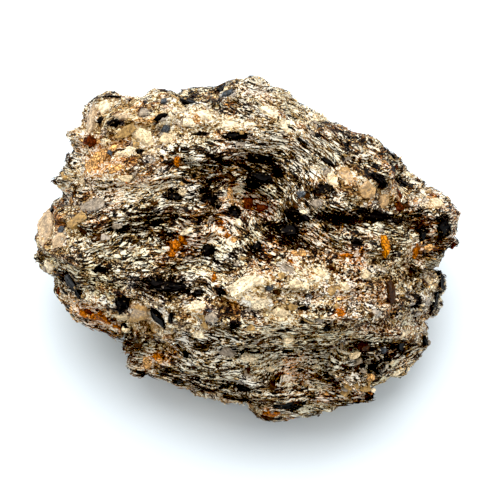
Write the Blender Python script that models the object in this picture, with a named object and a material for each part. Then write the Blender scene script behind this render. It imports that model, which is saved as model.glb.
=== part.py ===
"""Broken lump of biotite schist, a hand specimen about 106 mm wide, lying on a flat break.

The lump is worked out in the axes of the view it is usually seen from: a runs to the right, b runs up
the view and c comes towards the eye. The view looks down at VIEW_ELEVATION, and the last step turns
those axes into X, Y and Z. Lengths are in millimetres until the mesh is written in metres.
"""

import math

import bmesh
import bpy
import numpy as np

# Driving dimensions, in millimetres and degrees
VIEW_ELEVATION = 60.0
GRID_CUTS = 27
FRONT_RISE = 27.0
BACK_RISE = 28.0
RIM_LEAN = -0.30
FRONT_ROUNDNESS = 0.80
BACK_ROUNDNESS = 0.66
RIM_BAND = 0.55
RIM_KEEP = 0.25
OUTLINE_BLUR = 12.0
OUTLINE_SECTORS = 100
OUTLINE_CORE = 0.5
EDGE_ROUND = 0.9
BASE_DROP = 24.5
MM = 0.001

# How fast the relief fades towards the rim, as a share of the way round to the front or the back
FRONT_FADE = 0.35
RIM_FADE = 0.45

# Lumps of the plain body: push, and size
LUMPS = ((4.0, 19.0), (2.4, 9.0))

# Ledges along the layers: push, steepness, and size across and along the layers
LEDGES = ((1.9, 2.6, 4.6, 24.0), (0.9, 2.0, 2.4, 12.0))

# Small lumps on the ledges: push, and size
KNOBS = (0.9, 4.6)

# The field of layers: dip into the lump, reach and spacing of its bells, and how far they are held small
LAYER_DIP = 0.42
BELL_REACH = 15.0
BELL_SPACING = 12
BELL_HOLD = 0.02
FIELD_HALF_WIDTH = 60
FIELD_HALF_HEIGHT = 48

# The noise: cells before it repeats, first seed, and the shift in cells from one seed to the next
NOISE_CELLS = 32
NOISE_SEED = 7
NOISE_SHIFT = 3.7

# Brown-grey of black mica and cream feldspar seen together, in linear light
SCHIST_COLOUR = (0.23, 0.17, 0.11, 1)
SCHIST_ROUGHNESS = 0.6

# The outline of the lump in the view, clockwise from its upper left corner: (a, b)
OUTLINE = (
    (-34, 39.5), (-31.5, 38.8), (-27.8, 39), (-25, 39.8), (-23.5, 40.9), (-19.5, 40.5),
    (-17.8, 39.9), (-13.8, 41), (-8.2, 41.2), (-4.8, 41.9), (1, 43), (4, 42.5), (7.2, 40.9),
    (10.8, 39), (13.8, 36.8), (18.5, 33.2), (20.2, 31.5), (22.5, 30.8), (25.8, 29.2), (30.2, 28),
    (34.2, 25.8), (36.8, 24), (39.5, 21.8), (41.8, 19.5), (45.5, 16.8), (45.9, 15.2),
    (47.2, 15.5), (49.5, 14.5), (51, 12.5), (53.2, 8.5), (52.6, 5.2), (52.2, 2.5), (52.8, 1.1),
    (50.2, -1), (48.8, -3.8), (46.5, -5.2), (48.5, -6.2), (49.9, -7.2), (50, -9), (49.8, -10.8),
    (48.5, -12.2), (48.8, -15), (47.8, -16.5), (46, -17.5), (44.8, -18.5), (45.5, -20),
    (46.1, -21.2), (45.5, -24), (43, -27.5), (40.5, -30.5), (40.1, -31.5), (36.8, -32),
    (34.2, -33.1), (30.5, -34.5), (31.2, -35.8), (30.8, -37.4), (29.5, -38.1), (26.5, -37.8),
    (23.8, -38.5), (19.8, -40.5), (17.5, -41.4), (13.5, -41.9), (4.8, -42.8), (3.2, -41.9),
    (0, -39.5), (-3.5, -39.1), (-6.2, -38.2), (-12, -36.9), (-15.5, -35.2), (-19.8, -33.8),
    (-24.5, -31.5), (-26.2, -32), (-27.8, -31.5), (-28.6, -29.8), (-29.5, -28.8),
    (-28.6, -26.1), (-29.8, -24.8), (-30.5, -22.5), (-30.4, -22), (-32.1, -22), (-34.2, -21),
    (-37.2, -19.8), (-41.8, -17.8), (-43.5, -16.5), (-45, -13.9), (-46.2, -12.8), (-47, -10.8),
    (-46.8, -9.2), (-47.5, -7.6), (-49, -7), (-52.2, -3.6), (-53, -2.4), (-52.5, -0.2),
    (-52.6, 3.5), (-52.5, 6), (-51.8, 7.5), (-50.2, 9), (-48.5, 11.4), (-46.4, 12.5),
    (-46.4, 13.8), (-47.8, 16), (-48.5, 17), (-47.1, 19), (-46.2, 20.9), (-44.1, 25.2),
    (-44.5, 27.5), (-44.4, 28.8), (-41.9, 31.8), (-41, 33.6), (-40, 35.8), (-37.8, 38.1),
    (-36, 38.9),
)

# Swellings and hollows of the front: (a, b), half width, half height, turn in degrees, rise
FRONT_FORMS = (
    ((-29, 28), 14, 8, 22, 3.0),
    ((-27, 19), 13, 3.5, 18, 1.6),
    ((-2, 31), 16, 6, -12, 2.0),
    ((24, 24), 20, 4, -33, 2.2),
    ((4, 16.5), 9.5, 6.5, -20, -7.5),
    ((-6, 9), 8, 5.5, -30, -4.5),
    ((30, 7), 18, 4.2, -2, -4.2),
    ((4, 2.5), 13, 4.2, 4, -3.6),
    ((-25, 5.5), 13, 4.2, 10, -3.4),
    ((45, 5), 4, 4, 0, -2.0),
    ((-42, 3), 11, 9, 12, 2.4),
    ((24, -11), 23, 9.5, -6, 5.2),
    ((2, -9), 10, 4, 8, 2.2),
    ((-17, -14), 14, 8, -8, 3.4),
    ((-24, -18), 6, 4, -30, -1.8),
    ((-33, -15), 9, 5, -28, 2.0),
    ((10, -21), 20, 2.6, 9, 1.8),
    ((16, -29), 22, 3.2, -7, -3.2),
    ((-12, -27), 12, 3, -10, 1.6),
    ((16, -35), 18, 3.5, -4, 2.0),
)

# Broken faces: direction out of the lump as (a, b, c), and distance from its middle
BREAKS = (
    ((0.44, 0.56, 0.70), 33.0),
    ((-0.42, 0.52, 0.74), 32.5),
    ((-0.78, 0.00, 0.62), 42.5),
    ((-0.45, -0.50, 0.74), 36.0),
    ((0.12, -0.56, 0.82), 35.5),
    ((0.76, -0.22, 0.61), 42.0),
    ((0.36, 0.78, -0.52), 38.0),
    ((-0.62, 0.55, -0.56), 41.0),
    ((-0.74, -0.38, -0.56), 39.5),
    ((0.78, 0.02, -0.62), 42.5),
    ((0.45, -0.62, -0.64), 36.0),
    ((-0.20, -0.72, -0.66), 34.5),
    ((-0.05, 0.58, -0.81), 33.0),
)

# Where the layers of mica lie in the view: (a, b), and their climb to the right in degrees
LAYER_CLIMB = (
    ((-44, 3), 20), ((-30, 3), 16), ((-36, 15), -14), ((-22, 14), -2), ((-32, 28), 26),
    ((-18, 38), 4), ((-6, 37), -14), ((8, 34), -24), ((-14, 26), -8), ((12, 30), -46),
    ((15, 20), -52), ((26, 27), -34), ((38, 19), -36), ((18, 12), -36), ((34, 9), -4),
    ((46, 6), -14), ((2, 22), -12), ((-8, 12), -52), ((4, 8), -18), ((-10, 2), 22),
    ((-27, -7), 34), ((-16, -8), -8), ((-40, -10), -4), ((-38, -18), -26), ((0, -8), 14),
    ((20, -4), 8), ((36, -4), -16), ((24, -14), -4), ((40, -14), -46), ((8, -20), 12),
    ((-18, -20), 6), ((22, -29), -6), ((38, -26), 34), ((-10, -30), -8), ((10, -38), -6),
    ((-24, -28), -20),
)


def lattice_noise(points, cell, seed=0):
    """Smooth noise from -1 to 1: random values on a cubic lattice, eased between their neighbours."""
    table = np.random.default_rng(NOISE_SEED + seed).uniform(-1, 1, (NOISE_CELLS,) * 3)
    scaled = points / cell + seed * NOISE_SHIFT
    whole = np.floor(scaled).astype(int)
    part = scaled - whole
    ease = part * part * (3 - 2 * part)
    total = np.zeros(len(points))
    for corner in np.ndindex(2, 2, 2):
        weight = np.prod(np.where(corner, ease, 1 - ease), axis=1)
        i, j, k = ((whole + corner) % NOISE_CELLS).T
        total += weight * table[i, j, k]
    return total


def smooth_step(value):
    """0 below 0, 1 above 1, eased between."""
    value = np.clip(value, 0, 1)
    return value * value * (3 - 2 * value)


def outline_radius(angle):
    """Distance from the middle to the outline in this direction of the view."""
    corners = np.array(OUTLINE, float)
    turn = np.arctan2(corners[:, 1], corners[:, 0])
    return np.interp(angle, turn, np.hypot(*corners.T), period=2 * math.pi)


def blurred_radius(angle):
    """outline_radius with its notches evened out, for the form away from the rim."""
    steps = np.linspace(-2, 2, 17)
    weights = np.exp(-steps**2)
    spread = math.radians(OUTLINE_BLUR)
    total = sum(w * outline_radius(angle + s * spread) for s, w in zip(steps, weights))
    return total / weights.sum()


def body_of(directions):
    """The plain body: the outline at its rim, rising to the front and the back as a full cushion."""
    flat = np.hypot(directions[:, 0], directions[:, 1])
    depth = directions[:, 2]
    angle = np.arctan2(directions[:, 1], directions[:, 0])
    near_rim = np.exp(-((np.arcsin(np.clip(depth, -1, 1)) / RIM_BAND) ** 2))
    even = blurred_radius(angle)
    roundness = np.where(depth > 0, FRONT_ROUNDNESS, BACK_ROUNDNESS)
    radius = (even + (outline_radius(angle) - even) * near_rim) * flat**roundness
    rise = np.where(depth > 0, FRONT_RISE, -BACK_RISE)
    a, b = radius * np.cos(angle), radius * np.sin(angle)
    c = RIM_LEAN * b + rise * np.abs(depth) ** roundness
    return np.stack([a, b, c], axis=1)


def break_faces(points):
    """Presses each broken face flat, with an edge that rounds over about EDGE_ROUND."""
    for normal, distance in BREAKS:
        normal = np.array(normal) / np.linalg.norm(normal)
        beyond = points @ normal - distance
        over = EDGE_ROUND * np.logaddexp(0, beyond / EDGE_ROUND)
        points = points - over[:, None] * normal
    return points


def vertex_normals(points, triangles):
    """Outward normals at the points, weighted by the area of the faces round them."""
    a, b, c = (points[triangles[:, i]] for i in range(3))
    face = np.cross(b - a, c - a)
    normals = np.zeros_like(points)
    for corner in range(3):
        np.add.at(normals, triangles[:, corner], face)
    return normals / np.linalg.norm(normals, axis=1, keepdims=True)


def front_forms(points, triangles, directions):
    """Lifts and sinks the front by its swellings and hollows, fading out at the rim."""
    facing = smooth_step(directions[:, 2] / FRONT_FADE)
    lift = np.zeros(len(points))
    for (a, b), wide, tall, turn, rise in FRONT_FORMS:
        turn = math.radians(turn)
        across, up = points[:, 0] - a, points[:, 1] - b
        along = (across * math.cos(turn) + up * math.sin(turn)) / wide
        side = (up * math.cos(turn) - across * math.sin(turn)) / tall
        lift += rise * np.exp(-(along**2) - side**2)
    return points + (lift * facing)[:, None] * vertex_normals(points, triangles)


def layer_height(points):
    """A field whose level surfaces are the layers of mica: at each place its slope in the view
    follows LAYER_CLIMB, and the layers dip back into the lump."""
    places = np.array([place for place, _ in LAYER_CLIMB], float)
    climbs = np.radians([climb for _, climb in LAYER_CLIMB])
    wide = np.arange(-FIELD_HALF_WIDTH, FIELD_HALF_WIDTH + 1, BELL_SPACING)
    tall = np.arange(-FIELD_HALF_HEIGHT, FIELD_HALF_HEIGHT + 1, BELL_SPACING)
    knots = np.stack(np.meshgrid(wide, tall), -1).reshape(-1, 2)

    def bumps(at):
        """Each knot's bell at these places, and its slope."""
        gap = at[:, None] - knots
        value = np.exp(-(gap**2).sum(-1) / (2 * BELL_REACH**2))
        return value, -gap * value[..., None] / BELL_REACH**2

    _, slope = bumps(places)
    across = np.stack([-np.sin(climbs), np.cos(climbs)], axis=1)
    wanted = np.concatenate([across[:, 0], across[:, 1] - 1])
    rows = np.concatenate([slope[..., 0], slope[..., 1]])
    hold = BELL_HOLD * np.eye(len(knots))
    amounts = np.linalg.lstsq(
        np.concatenate([rows, hold]), np.concatenate([wanted, np.zeros(len(knots))]), rcond=None
    )[0]
    level = np.stack([points[:, 0], points[:, 1] + LAYER_DIP * points[:, 2]], axis=1)
    return level[:, 1] + bumps(level)[0] @ amounts


def away_from_rim(directions):
    """1 on the front and the back, down to RIM_KEEP at the rim, where the outline is held."""
    return RIM_KEEP + (1 - RIM_KEEP) * smooth_step(np.abs(directions[:, 2]) / RIM_FADE)


def lumps(points, triangles, directions):
    """Pushes the plain body in and out in lumps of two sizes."""
    push = sum(rise * lattice_noise(points, size, seed) for seed, (rise, size) in enumerate(LUMPS, 1))
    push = push * away_from_rim(directions)
    return points + push[:, None] * vertex_normals(points, triangles)


def ledges(points, triangles, directions):
    """Steps where harder layers stand proud of softer ones, in long strips along the layers."""
    height = layer_height(points)
    push = np.zeros(len(points))
    for seed, (rise, steepness, across, along) in enumerate(LEDGES, 3):
        place = np.stack([height / across, points[:, 0] / along, points[:, 2] / along], axis=1)
        push += rise * np.tanh(steepness * lattice_noise(place, 1.0, seed))
    rise, size = KNOBS
    push = (push + rise * lattice_noise(points, size, 5)) * away_from_rim(directions)
    return points + push[:, None] * vertex_normals(points, triangles)


def fit_outline(points):
    """Draws the outer parts in or out across the view, so that the widest points of each
    sector lie on the outline. The core of the lump stays as it is."""
    angle = np.arctan2(points[:, 1], points[:, 0])
    radius = np.hypot(points[:, 0], points[:, 1])
    sector = np.floor((angle / (2 * math.pi) % 1) * OUTLINE_SECTORS).astype(int) % OUTLINE_SECTORS
    widest = np.zeros(OUTLINE_SECTORS)
    np.maximum.at(widest, sector, radius)
    middle = (np.arange(OUTLINE_SECTORS) + 0.5) * 2 * math.pi / OUTLINE_SECTORS
    reach = np.interp(angle, middle, widest, period=2 * math.pi)
    share = smooth_step((radius / reach - OUTLINE_CORE) / (1 - OUTLINE_CORE))
    scale = 1 + (outline_radius(angle) / reach - 1) * share
    return points * np.stack([scale, scale, np.ones(len(points))], axis=1)


def stand(points):
    """Turns the axes of the view into X, Y and Z, cuts the base flat and stands it on Z = 0."""
    tilt = math.radians(VIEW_ELEVATION)
    a, b, c = points.T
    y = b * math.sin(tilt) - c * math.cos(tilt)
    z = b * math.cos(tilt) + c * math.sin(tilt)
    placed = np.stack([a, y, np.maximum(z, -BASE_DROP)], axis=1)
    low, high = placed.min(axis=0), placed.max(axis=0)
    return placed - [(low[0] + high[0]) / 2, (low[1] + high[1]) / 2, low[2]]


def schist_material():
    """Dull broken schist, in one even colour."""
    material = bpy.data.materials.new("biotite_schist")
    material.use_nodes = True
    shader = material.node_tree.nodes["Principled BSDF"]
    shader.inputs["Base Color"].default_value = SCHIST_COLOUR
    shader.inputs["Roughness"].default_value = SCHIST_ROUGHNESS
    shader.inputs["Metallic"].default_value = 0.0
    return material


def schist_lump():
    """One closed solid: a cube cut into a grid, rounded into directions, then shaped."""
    solid = bmesh.new()
    bmesh.ops.create_cube(solid, size=2)
    bmesh.ops.subdivide_edges(solid, edges=solid.edges[:], cuts=GRID_CUTS, use_grid_fill=True)
    bmesh.ops.triangulate(solid, faces=solid.faces[:])
    mesh = bpy.data.meshes.new("schist_lump")
    solid.to_mesh(mesh)
    solid.free()

    cube = np.array([vertex.co for vertex in mesh.vertices], float)
    directions = np.tan(cube * math.pi / 4)
    directions /= np.linalg.norm(directions, axis=1, keepdims=True)
    triangles = np.array([face.vertices for face in mesh.polygons])
    points = lumps(body_of(directions), triangles, directions)
    points = front_forms(break_faces(points), triangles, directions)
    points = stand(fit_outline(ledges(points, triangles, directions)))
    mesh.vertices.foreach_set("co", (points * MM).ravel())
    mesh.materials.append(schist_material())
    lump = bpy.data.objects.new("schist_lump", mesh)
    bpy.context.scene.collection.objects.link(lump)
    return lump


def main():
    for found in list(bpy.data.objects):
        bpy.data.objects.remove(found)
    schist_lump()


main()
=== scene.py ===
"""Looks of a broken lump of biotite schist: its skin, flakes, grains, crystals and studio.

The stone is worked out in the axes of the view it is usually seen from, in millimetres: a runs to the
right, b runs up the view and c comes towards the eye. Stand turns those axes into X, Y and Z in metres
and puts the stone where the solid of the frame is.
"""

import logging
import math
from dataclasses import dataclass, field
from enum import Enum

import bpy
import numpy as np
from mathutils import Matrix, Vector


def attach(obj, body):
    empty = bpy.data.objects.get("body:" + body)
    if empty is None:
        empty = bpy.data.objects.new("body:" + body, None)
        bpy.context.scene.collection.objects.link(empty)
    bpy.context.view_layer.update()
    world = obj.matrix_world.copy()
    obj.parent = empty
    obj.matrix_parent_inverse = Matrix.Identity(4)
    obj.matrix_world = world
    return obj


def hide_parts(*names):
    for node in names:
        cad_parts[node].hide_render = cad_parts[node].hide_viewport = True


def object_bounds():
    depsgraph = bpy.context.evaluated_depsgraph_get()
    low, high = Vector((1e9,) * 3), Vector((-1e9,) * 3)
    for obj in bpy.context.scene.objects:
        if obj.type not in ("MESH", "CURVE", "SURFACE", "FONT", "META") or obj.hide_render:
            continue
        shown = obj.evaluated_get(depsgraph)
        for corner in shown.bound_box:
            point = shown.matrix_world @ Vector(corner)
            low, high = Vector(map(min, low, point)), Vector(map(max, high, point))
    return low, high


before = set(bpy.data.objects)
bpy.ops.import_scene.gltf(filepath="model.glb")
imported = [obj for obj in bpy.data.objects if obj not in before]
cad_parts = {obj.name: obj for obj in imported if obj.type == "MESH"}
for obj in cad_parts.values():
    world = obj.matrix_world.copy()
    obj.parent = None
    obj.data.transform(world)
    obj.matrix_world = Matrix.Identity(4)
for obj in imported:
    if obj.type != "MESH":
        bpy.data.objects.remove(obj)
CAD_BOX = [list(map(float, corner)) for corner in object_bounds()]

LOG = logging.getLogger("schist")
Array = np.ndarray

# The view and the camera
VIEW_ELEVATION = 60.0
PIXELS_PER_MM = 4.0
IMAGE_PIXELS = 500
LENS_MM = 150.0
SENSOR_MM = 36.0

# The light below which the picture is black
BLACK_POINT = 0.010

# The form of the lump, in millimetres, as in its solid
SKIN_CELLS = 198
FRONT_RISE = 27.0
BACK_RISE = 28.0
RIM_LEAN = -0.30
FRONT_ROUNDNESS = 0.80
BACK_ROUNDNESS = 0.66
RIM_BAND = 0.55
RIM_KEEP = 0.25
OUTLINE_BLUR = 12.0
BASE_DROP = 24.5
LAYER_DIP = 0.42
NOISE_CELLS = 32
NOISE_SEED = 7

# The outline of the lump in the view, clockwise from its upper left corner: (a, b)
OUTLINE = (
    (-34, 39.5), (-31.5, 38.8), (-27.8, 39), (-25, 39.8), (-23.5, 40.9), (-19.5, 40.5), (-17.8, 39.9),
    (-13.8, 41), (-8.2, 41.2), (-4.8, 41.9), (1, 43), (4, 42.5), (7.2, 40.9), (10.8, 39), (13.8, 36.8),
    (18.5, 33.2), (20.2, 31.5), (22.5, 30.8), (25.8, 29.2), (30.2, 28), (34.2, 25.8), (36.8, 24),
    (39.5, 21.8), (41.8, 19.5), (45.5, 16.8), (45.9, 15.2), (47.2, 15.5), (49.5, 14.5), (51, 12.5),
    (53.2, 8.5), (52.6, 5.2), (52.2, 2.5), (52.8, 1.1), (50.2, -1), (48.8, -3.8), (46.5, -5.2),
    (48.5, -6.2), (49.9, -7.2), (50, -9), (49.8, -10.8), (48.5, -12.2), (48.8, -15), (47.8, -16.5),
    (46, -17.5), (44.8, -18.5), (45.5, -20), (46.1, -21.2), (45.5, -24), (43, -27.5), (40.5, -30.5),
    (40.1, -31.5), (36.8, -32), (34.2, -33.1), (30.5, -34.5), (31.2, -35.8), (30.8, -37.4), (29.5, -38.1),
    (26.5, -37.8), (23.8, -38.5), (19.8, -40.5), (17.5, -41.4), (13.5, -41.9), (4.8, -42.8), (3.2, -41.9),
    (0, -39.5), (-3.5, -39.1), (-6.2, -38.2), (-12, -36.9), (-15.5, -35.2), (-19.8, -33.8), (-24.5, -31.5),
    (-26.2, -32), (-27.8, -31.5), (-28.6, -29.8), (-29.5, -28.8), (-28.6, -26.1), (-29.8, -24.8),
    (-30.5, -22.5), (-30.4, -22), (-32.1, -22), (-34.2, -21), (-37.2, -19.8), (-41.8, -17.8),
    (-43.5, -16.5), (-45, -13.9), (-46.2, -12.8), (-47, -10.8), (-46.8, -9.2), (-47.5, -7.6), (-49, -7),
    (-52.2, -3.6), (-53, -2.4), (-52.5, -0.2), (-52.6, 3.5), (-52.5, 6), (-51.8, 7.5), (-50.2, 9),
    (-48.5, 11.4), (-46.4, 12.5), (-46.4, 13.8), (-47.8, 16), (-48.5, 17), (-47.1, 19), (-46.2, 20.9),
    (-44.1, 25.2), (-44.5, 27.5), (-44.4, 28.8), (-41.9, 31.8), (-41, 33.6), (-40, 35.8), (-37.8, 38.1),
    (-36, 38.9),
)

# Swellings and hollows of the front: a, b, half width, half height, turn in degrees, rise
FRONT_FORMS = (
    (-29, 28, 14, 8, 22, 3.0), (-27, 19, 13, 3.5, 18, 1.6), (-2, 31, 16, 6, -12, 2.0),
    (24, 24, 20, 4, -33, 2.2), (4, 16.5, 9.5, 6.5, -20, -7.5), (-6, 9, 8, 5.5, -30, -4.5),
    (30, 7, 18, 4.2, -2, -4.2), (4, 2.5, 13, 4.2, 4, -3.6), (-25, 5.5, 13, 4.2, 10, -3.4),
    (45, 5, 4, 4, 0, -2.0), (-42, 3, 11, 9, 12, 2.4), (24, -11, 23, 9.5, -6, 5.2), (2, -9, 10, 4, 8, 2.2),
    (-17, -14, 14, 8, -8, 3.4), (-24, -18, 6, 4, -30, -1.8), (-33, -15, 9, 5, -28, 2.0),
    (10, -21, 20, 2.6, 9, 1.8), (16, -29, 22, 3.2, -7, -3.2), (-12, -27, 12, 3, -10, 1.6),
    (16, -35, 18, 3.5, -4, 2.0),
)

# Broken faces: direction out of the lump as (a, b, c), and distance from its middle
BREAKS = (
    ((0.44, 0.56, 0.70), 33.0),
    ((-0.42, 0.52, 0.74), 32.5),
    ((-0.78, 0.00, 0.62), 42.5),
    ((-0.45, -0.50, 0.74), 36.0),
    ((0.12, -0.56, 0.82), 35.5),
    ((0.76, -0.22, 0.61), 42.0),
    ((0.36, 0.78, -0.52), 38.0),
    ((-0.62, 0.55, -0.56), 41.0),
    ((-0.74, -0.38, -0.56), 39.5),
    ((0.78, 0.02, -0.62), 42.5),
    ((0.45, -0.62, -0.64), 36.0),
    ((-0.20, -0.72, -0.66), 34.5),
    ((-0.05, 0.58, -0.81), 33.0),
)

# Where the layers of mica lie in the view: a, b and their climb to the right in degrees
LAYER_CLIMB = (
    (-44, 3, 20), (-30, 3, 16), (-36, 15, -14), (-22, 14, -2), (-32, 28, 26), (-18, 38, 4), (-6, 37, -14),
    (8, 34, -24), (-14, 26, -8), (12, 30, -46), (15, 20, -52), (26, 27, -34), (38, 19, -36), (18, 12, -36),
    (34, 9, -4), (46, 6, -14), (2, 22, -12), (-8, 12, -52), (4, 8, -18), (-10, 2, 22), (-27, -7, 34),
    (-16, -8, -8), (-40, -10, -4), (-38, -18, -26), (0, -8, 14), (20, -4, 8), (36, -4, -16), (24, -14, -4),
    (40, -14, -46), (8, -20, 12), (-18, -20, 6), (22, -29, -6), (38, -26, 34), (-10, -30, -8),
    (10, -38, -6), (-24, -28, -20),
)


@dataclass(frozen=True)
class Tone:
    """Where a mineral stands among the stone's colours: how light, how rusty and how grey it is."""

    mineral: str
    light: float
    rust: float = 0.0
    cool: float = 0.0


class Mineral(Enum):
    """What a flake, grain or patch is made of."""

    BLACK = Tone("black biotite", 0.015, cool=0.4)
    SLATE = Tone("slate-blue biotite face", 0.36, cool=1.0)
    BROWN = Tone("dark brown weathered biotite", 0.24)
    TAN = Tone("tan feldspar", 0.66)
    CREAM = Tone("cream feldspar", 0.88)
    WHITE = Tone("white feldspar", 0.91)
    PINK = Tone("pink-cream feldspar", 0.74, rust=0.15, cool=0.35)
    GREY = Tone("grey quartz", 0.6, cool=0.55)
    CLEAR = Tone("glassy quartz", 0.68, rust=0.15, cool=0.1)
    AMBER = Tone("amber iron stain", 0.46, rust=1.0)
    ORANGE = Tone("vivid orange iron stain", 0.56, rust=1.0)
    PEACH = Tone("peach-stained feldspar", 0.74, rust=0.7)
    RUST = Tone("dark red-brown iron stain", 0.26, rust=1.0)


# Colours from black to white, as (lightness, sRGB), of plain, iron-stained and grey stone
PLAIN_STOPS = (
    (0.00, "040201"), (0.12, "1a0b04"), (0.22, "331a09"), (0.32, "4a3014"), (0.44, "6c4a20"),
    (0.55, "8c6a36"), (0.66, "a8854d"), (0.76, "c5a471"), (0.86, "e0c495"), (0.94, "f6e4c2"),
    (1.00, "fffaea"),
)
RUST_STOPS = (
    (0.00, "0a0301"), (0.16, "2a0c03"), (0.30, "622808"), (0.44, "9c530e"), (0.58, "c4780f"),
    (0.72, "dc9a4c"), (0.86, "eecba0"), (1.00, "fff0dc"),
)
COOL_STOPS = (
    (0.00, "050506"), (0.16, "15181d"), (0.30, "333a42"), (0.44, "5f6264"), (0.58, "8a8883"),
    (0.72, "b3afa5"), (0.86, "dad5ca"), (1.00, "fdfbf6"),
)

# The share of the light that the whitest stone gives back
REFLECTANCE = 0.88

# The size of the specks of other minerals in a crystal
SPECK_MM = 0.45

# The size of the cells of painted shade on a crystal or flake, each a little darker or lighter as a small
# broken face would be lit
FACET_SHADE_MM = 0.38

# How far olive mica holds back red, green and blue
OLIVE_TINT = (0.90, 0.89, 0.72)

# Parts of the front where one mineral prevails: a, b, half width, half height, turn, strength. The dark
# parts are dark mica and also painted shade, laid in the hollows of FRONT_FORMS
DARK_MICA_AND_HOLLOW_SHADE_PARTS = (
    (4, 17, 9, 7.5, -15, 0.56), (-8, 10.8, 8, 6, -40, 0.46), (31.5, 7.5, 16, 2.6, -2, 0.6),
    (11, 3.2, 12, 4, 0, 0.42), (-24, 5.8, 10, 4.6, 10, 0.5), (18, -29.8, 21, 2, -6, 0.08),
    (0, -35.5, 6, 4, 0, 0.35), (25, -32, 13, 4, 4, 0.2), (-3, 35, 7, 2.6, -15, 0.3),
    (32, 25, 16, 2.6, -34, 0.25), (-4, 24, 11, 3, -8, 0.18), (-2, -1.5, 12, 2.6, 6, 0.4),
    (-18, -8, 7, 2, -6, 0.35), (-40, -8.6, 7, 1.8, -2, 0.35), (-36, 12, 9, 2.4, -16, 0.22),
    (49, 3, 3, 5, 0, 0.35), (-15.5, 1.8, 4, 3, 0, 0.45), (38, -26, 6, 7, 30, 0.2),
    (-16, -36, 9, 2.4, -14, 0.25),
)
# Pale feldspar, and also painted light on the large swelling low on the right of the front
PALE_FELDSPAR_AND_SWELLING_LIGHT_PARTS = (
    (-30, 35.4, 9, 3.4, 5, 0.42), (-38, 31, 5, 5, 0, 0.3), (-9, 31.5, 13, 4.2, -6, 0.75),
    (-24.5, 27, 5, 3.5, 0, 0.8), (6.5, 33, 7, 2.5, -40, 0.6), (-30, 12.6, 15, 3.8, 0, 1.05),
    (29, 15.5, 10, 4.2, -20, 0.05), (-2.8, 12, 3.6, 3, 0, 1.6), (-48, 4.5, 4.5, 5, 0, 0.15),
    (-49, -5.5, 2.5, 2, 0, 0.6), (-35, -11, 5, 4.6, 0, 0.45), (0, -8.75, 8, 3.2, 10, 0.7),
    (-11.5, -13.5, 4, 2.5, 0, 0.6), (3.5, -13.2, 5, 3.5, 0, 0.6), (8, -15.5, 5, 3.5, 0, 0.5),
    (-2, -26, 5.5, 2.4, -5, 0.6), (16, -8, 10, 5.5, -8, 1.1), (14, -26, 14, 4, 0, 0.2),
    (18, -30, 16, 3, -6, 0.45), (6.5, -41.5, 5, 2, 0, 0.2), (42, -1, 4, 3, 0, 0.15),
    (44.5, -8.5, 2.5, 3.5, 0, 0.5), (48, 12, 3.5, 2.5, -40, 0.5), (-36, 20, 6, 3, 10, 0.5),
    (-24, -18, 5, 4, -30, 0.6), (8, 40, 10, 2.5, -20, 0.4),
)
BLOCK_PARTS = (
    (-33, 33, 10, 6, 20, 1.2), (-12, 32, 16, 5, -6, 1.0), (-26, 27, 8, 5, 20, 1.2),
    (-34, 21, 9, 4, 15, 0.9), (-48, 4, 6, 7, 0, 1.0), (16, -7, 14, 6, -6, 1.3), (30, -12, 14, 8, -6, 1.1),
    (38, -10, 8, 8, 0, 0.9), (-24, -18, 8, 5, -30, 1.2), (4, -12, 9, 5, 0, 0.8), (29, 15, 10, 5, -20, 1.0),
    (0, 39, 10, 3, -10, 0.6), (-37, 11, 6, 3, 0, 0.9), (-10, -16, 8, 4, 0, 0.5), (47, 11, 4, 3, 0, 0.8),
    (-34, -11, 7, 4, 0, 0.7), (-22, -29, 6, 4, 0, 0.5), (44, -22, 5, 8, 20, 0.6),
)
CLEAN_PARTS = (
    (-33, 33, 9, 6, 20, 1.0), (-12, 32, 16, 5, -6, 0.55), (-24, 27, 7, 5, 20, 1.2),
    (-35, 21, 7, 4, 15, 0.7), (-48, 4, 6, 7, 0, 1.0), (-24, -18, 8, 5, -30, 1.2), (2, -11, 8, 4, 0, 0.8),
    (29, 15, 9, 5, -20, 1.0), (-37, 11, 6, 3, 0, 1.0), (-10, -16, 8, 4, 0, 0.6), (47, 11, 4, 3, 0, 0.7),
    (8, -14, 6, 4, 0, 0.5),
)
RUST_PARTS = (
    (2, 10.8, 5, 3.4, -20, 0.8), (-36.2, -18, 6, 3, -24, 0.8), (-39, 26.2, 4, 2, 0, 0.6),
    (43, 0, 5, 3, -20, 0.5), (-28.6, 28.6, 5, 1.6, 32, 0.4), (-35, 21.5, 6.5, 3.6, 12, 0.45),
    (-15, 0, 5.5, 3.6, 30, 0.8), (3, 1, 10, 3, -10, 0.35), (6.5, -41.5, 6, 2.2, 0, 0.5),
    (21.5, -36.5, 6, 3, 0, 0.35), (24, -1.5, 6, 1.6, 0, 0.45), (12, -31, 12, 2.6, -6, 0.25),
    (-50, 9.4, 2.4, 1.8, 0, 0.6), (36, 11, 6, 5, 0, 0.3), (-10, 36, 8, 2.6, -10, 0.22),
    (16, 3, 8, 3, -6, 0.3), (-44, -13, 4, 3, -30, 0.45), (-18, -29, 8, 5, 0, 0.22), (-8, 8, 6, 6, 0, 0.25),
    (30, -10, 7, 5, 0, 0.18), (-30, 17, 8, 2, -6, 0.2),
)
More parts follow.
